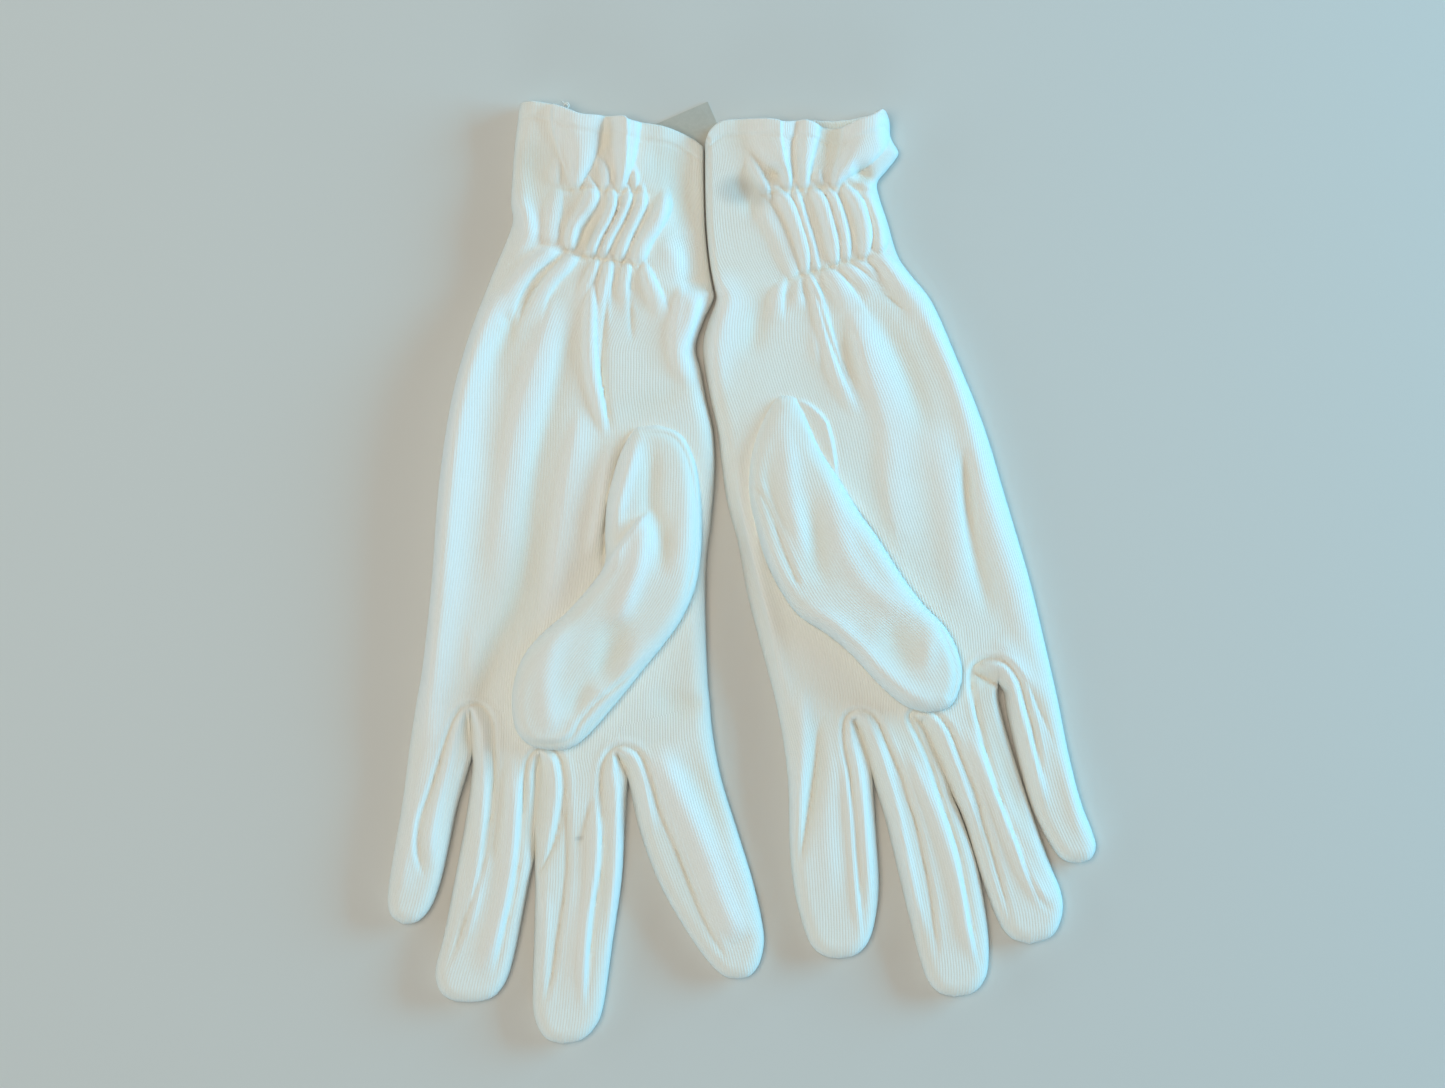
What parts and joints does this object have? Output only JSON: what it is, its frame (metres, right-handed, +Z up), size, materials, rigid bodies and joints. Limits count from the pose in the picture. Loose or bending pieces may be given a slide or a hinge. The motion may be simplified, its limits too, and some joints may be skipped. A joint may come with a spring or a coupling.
{
  "type": "pair of knit gloves",
  "caption": "Pair of wrist-length knit gloves lying palm up, with gathered wrists, ruffled cuffs, side strips between the fingers, set-in thumbs and a plain card tag under the cuffs.",
  "frame": {"origin": "centre of the pair's outline, on the surface the gloves lie on", "axes": "+Y from the fingertips toward the cuffs, +X from the left glove toward the right glove, +Z up from the surface"},
  "size_m": [0.2072, 0.2752, 0.0164],
  "materials": {
    "knit_fabric": "fine matte warp knit, warm off-white",
    "elastic": "narrow covered elastic, matte",
    "woven_label": "plain woven tape, slight sheen",
    "card": null
  },
  "bodies": {
    "left_hand": {"left_palm_panel": "knit_fabric", "left_back_panel": "knit_fabric", "left_thumb_root": "knit_fabric", "left_elastic_upper": "elastic", "left_elastic_lower": "elastic", "left_label": "woven_label", "left_web_little_ring": "knit_fabric", "left_web_ring_middle": "knit_fabric", "left_web_middle_index": "knit_fabric"},
    "left_little": {"left_little_stall": "knit_fabric", "left_little_fourchette_b": "knit_fabric"},
    "left_ring": {"left_ring_stall": "knit_fabric", "left_ring_fourchette_a": "knit_fabric", "left_ring_fourchette_b": "knit_fabric"},
    "left_middle": {"left_middle_stall": "knit_fabric", "left_middle_fourchette_a": "knit_fabric", "left_middle_fourchette_b": "knit_fabric"},
    "left_index": {"left_index_stall": "knit_fabric", "left_index_fourchette_a": "knit_fabric"},
    "left_thumb": {"left_thumb_stall": "knit_fabric"},
    "right_hand": {"right_palm_panel": "knit_fabric", "right_back_panel": "knit_fabric", "right_thumb_root": "knit_fabric", "right_elastic_upper": "elastic", "right_elastic_lower": "elastic", "right_label": "woven_label", "right_web_index_middle": "knit_fabric", "right_web_middle_ring": "knit_fabric", "right_web_ring_little": "knit_fabric"},
    "right_index": {"right_index_stall": "knit_fabric", "right_index_fourchette_b": "knit_fabric"},
    "right_middle": {"right_middle_stall": "knit_fabric", "right_middle_fourchette_a": "knit_fabric", "right_middle_fourchette_b": "knit_fabric"},
    "right_ring": {"right_ring_stall": "knit_fabric", "right_ring_fourchette_a": "knit_fabric", "right_ring_fourchette_b": "knit_fabric"},
    "right_little": {"right_little_stall": "knit_fabric", "right_little_fourchette_a": "knit_fabric"},
    "right_thumb": {"right_thumb_stall": "knit_fabric"},
    "card": {"card_tag": "card"}
  },
  "joints": [
    {"name": "left_little_curl", "type": "hinge", "parent": "left_hand", "child": "left_little", "pos_m": [-0.0886, -0.054, 0.009], "axis": [-0.9847, 0.1742, 0], "range_deg": [0, 90]},
    {"name": "left_ring_curl", "type": "hinge", "parent": "left_hand", "child": "left_ring", "pos_m": [-0.0691, -0.062, 0.009], "axis": [-0.9899, 0.1419, 0], "range_deg": [0, 90]},
    {"name": "left_middle_curl", "type": "hinge", "parent": "left_hand", "child": "left_middle", "pos_m": [-0.0454, -0.063, 0.009], "axis": [-0.9973, 0.0741, 0], "range_deg": [0, 90]},
    {"name": "left_index_curl", "type": "hinge", "parent": "left_hand", "child": "left_index", "pos_m": [-0.0198, -0.0575, 0.009], "axis": [-0.9641, -0.2655, 0], "range_deg": [0, 90]},
    {"name": "left_thumb_lift", "type": "hinge", "parent": "left_hand", "child": "left_thumb", "pos_m": [-0.02781, -0.0056, 0.0164], "axis": [-0.9376, 0.3478, 0], "range_deg": [0, 110]},
    {"name": "right_index_curl", "type": "hinge", "parent": "right_hand", "child": "right_index", "pos_m": [0.0249, -0.0535, 0.009], "axis": [-0.9982, -0.0595, 0], "range_deg": [0, 90]},
    {"name": "right_middle_curl", "type": "hinge", "parent": "right_hand", "child": "right_middle", "pos_m": [0.049, -0.057, 0.009], "axis": [-0.9754, -0.2203, 0], "range_deg": [0, 90]},
    {"name": "right_ring_curl", "type": "hinge", "parent": "right_hand", "child": "right_ring", "pos_m": [0.0672, -0.047, 0.009], "axis": [-0.954, -0.2998, 0], "range_deg": [0, 90]},
    {"name": "right_little_curl", "type": "hinge", "parent": "right_hand", "child": "right_little", "pos_m": [0.0856, -0.0396, 0.009], "axis": [-0.9629, -0.27, 0], "range_deg": [0, 90]},
    {"name": "right_thumb_lift", "type": "hinge", "parent": "right_hand", "child": "right_thumb", "pos_m": [0.02473, 0.0049, 0.0164], "axis": [-0.8189, -0.574, 0], "range_deg": [0, 110]},
    {"name": "pair_apart", "type": "slide", "parent": "left_hand", "child": "right_hand", "axis": [1, 0, 0], "range_m": [0, 0.12]},
    {"name": "card_draw", "type": "slide", "parent": "left_hand", "child": "card", "axis": [-0.3987, 0.9171, 0], "range_m": [0, 0.045]}
  ]
}
